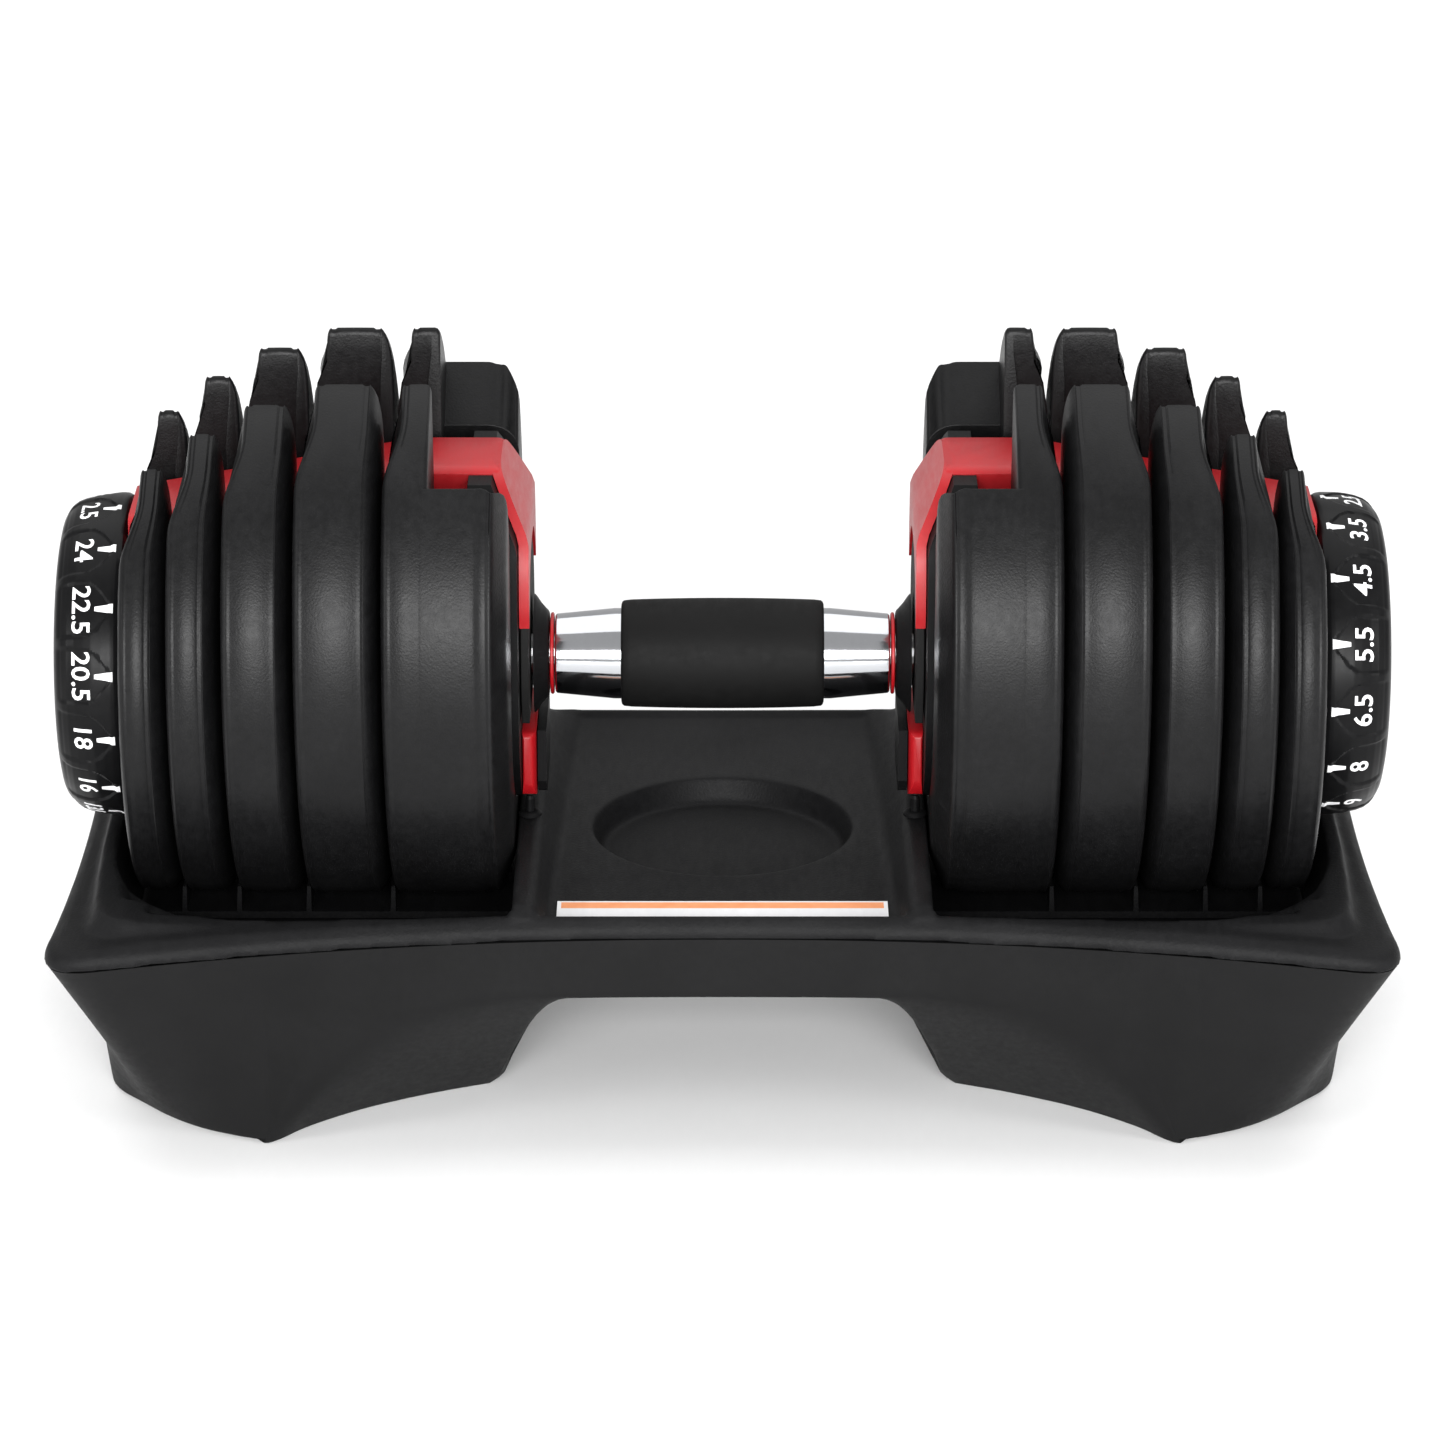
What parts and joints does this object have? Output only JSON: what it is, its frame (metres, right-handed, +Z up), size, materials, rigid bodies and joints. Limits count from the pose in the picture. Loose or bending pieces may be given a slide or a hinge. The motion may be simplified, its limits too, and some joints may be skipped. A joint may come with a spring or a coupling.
{
  "type": "adjustable dumbbell",
  "caption": "Adjustable dumbbell resting in its moulded cradle: slotted plates, red bell frames, end dials, a chrome and rubber handle.",
  "frame": {"origin": "on the floor under the middle of the handle", "axes": "+X along the handle, +Y away from the front of the cradle, +Z up"},
  "size_m": [0.4, 0.2082, 0.2257],
  "materials": {
    "tray_black": "spark-textured black ABS",
    "skirt_black": "fine matte black ABS",
    "label_print": "printed film label, white with one orange band",
    "foot_rubber": "soft black rubber",
    "bare_steel": "bright zinc-plated steel",
    "coated_iron": "iron with a moulded satin black plastic coat, fine leather grain",
    "chrome_tube": "polished chrome",
    "grip_rubber": "matte black rubber sleeve",
    "red_plastic": "semi-gloss red plastic",
    "black_nylon": "satin black nylon",
    "textured_black": "coarse textured black plastic",
    "dial_black": "satin black with white printed numbers"
  },
  "bodies": {
    "cradle": {"tray_top_shell": "tray_black", "tray_base": "skirt_black", "deck_label": "label_print", "plate_rack_left": "tray_black", "plate_rack_right": "tray_black", "rubber_foot_front_left": "foot_rubber", "rubber_foot_front_right": "foot_rubber", "rubber_foot_rear_left": "foot_rubber", "rubber_foot_rear_right": "foot_rubber", "lock_post_left": "bare_steel", "lock_post_right": "bare_steel"},
    "plates_5": {"plate_5_left": "coated_iron", "plate_5_right": "coated_iron"},
    "plates_4": {"plate_4_left": "coated_iron", "plate_4_right": "coated_iron"},
    "plates_3": {"plate_3_left": "coated_iron", "plate_3_right": "coated_iron"},
    "plates_2": {"plate_2_left": "coated_iron", "plate_2_right": "coated_iron"},
    "plates_1": {"plate_1_left": "coated_iron", "plate_1_right": "coated_iron"},
    "handle": {"handle_tube": "chrome_tube", "handle_grip": "grip_rubber", "core_shaft": "bare_steel", "shaft_nut_left": "bare_steel", "hub_ring_left": "red_plastic", "hub_cone_left": "black_nylon", "bell_frame_left": "red_plastic", "end_insert_left": "textured_black", "bell_housing_left": "black_nylon", "lock_housing_left": "red_plastic", "lock_cover_left": "black_nylon", "lock_spring_left": "bare_steel", "shaft_nut_right": "bare_steel", "hub_ring_right": "red_plastic", "hub_cone_right": "black_nylon", "bell_frame_right": "red_plastic", "end_insert_right": "textured_black", "bell_housing_right": "black_nylon", "lock_housing_right": "red_plastic", "lock_cover_right": "black_nylon", "lock_spring_right": "bare_steel"},
    "selector_left": {"dial_left": "dial_black", "dial_cap_left": "dial_black", "drive_tube_left": "bare_steel", "selector_disc_1_left": "black_nylon", "selector_disc_2_left": "black_nylon", "selector_disc_3_left": "black_nylon", "selector_disc_4_left": "black_nylon", "selector_disc_5_left": "black_nylon"},
    "selector_right": {"dial_right": "dial_black", "dial_cap_right": "dial_black", "drive_tube_right": "bare_steel", "selector_disc_1_right": "black_nylon", "selector_disc_2_right": "black_nylon", "selector_disc_3_right": "black_nylon", "selector_disc_4_right": "black_nylon", "selector_disc_5_right": "black_nylon"},
    "lock_left": {"lock_pin_left": "bare_steel"},
    "lock_right": {"lock_pin_right": "bare_steel"}
  },
  "joints": [
    {"name": "plates_5_lift", "type": "slide", "parent": "cradle", "child": "plates_5", "axis": [0, 0, 1], "range_m": [0, 0.16]},
    {"name": "plates_4_lift", "type": "slide", "parent": "plates_5", "child": "plates_4", "axis": [0, 0, 1], "range_m": [0, 0.16]},
    {"name": "plates_3_lift", "type": "slide", "parent": "plates_4", "child": "plates_3", "axis": [0, 0, 1], "range_m": [0, 0.16]},
    {"name": "plates_2_lift", "type": "slide", "parent": "plates_3", "child": "plates_2", "axis": [0, 0, 1], "range_m": [0, 0.16]},
    {"name": "plates_1_lift", "type": "slide", "parent": "plates_2", "child": "plates_1", "axis": [0, 0, 1], "range_m": [0, 0.16]},
    {"name": "handle_lift", "type": "slide", "parent": "plates_1", "child": "handle", "axis": [0, 0, 1], "range_m": [0, 0.16]},
    {"name": "dial_left_turn", "type": "hinge", "parent": "handle", "child": "selector_left", "pos_m": [-0.185, 0, 0.13], "axis": [1, 0, 0], "continuous": true},
    {"name": "dial_right_turn", "type": "hinge", "parent": "handle", "child": "selector_right", "pos_m": [0.185, 0, 0.13], "axis": [1, 0, 0], "continuous": true},
    {"name": "lock_left_press", "type": "slide", "parent": "handle", "child": "lock_left", "axis": [0, 0, 1], "range_m": [0, 0.004], "stiffness_N_per_m": 120, "springref_m": -0.004, "deforming": ["lock_spring_left"]},
    {"name": "lock_right_press", "type": "slide", "parent": "handle", "child": "lock_right", "axis": [0, 0, 1], "range_m": [0, 0.004], "stiffness_N_per_m": 120, "springref_m": -0.004, "deforming": ["lock_spring_right"]}
  ]
}
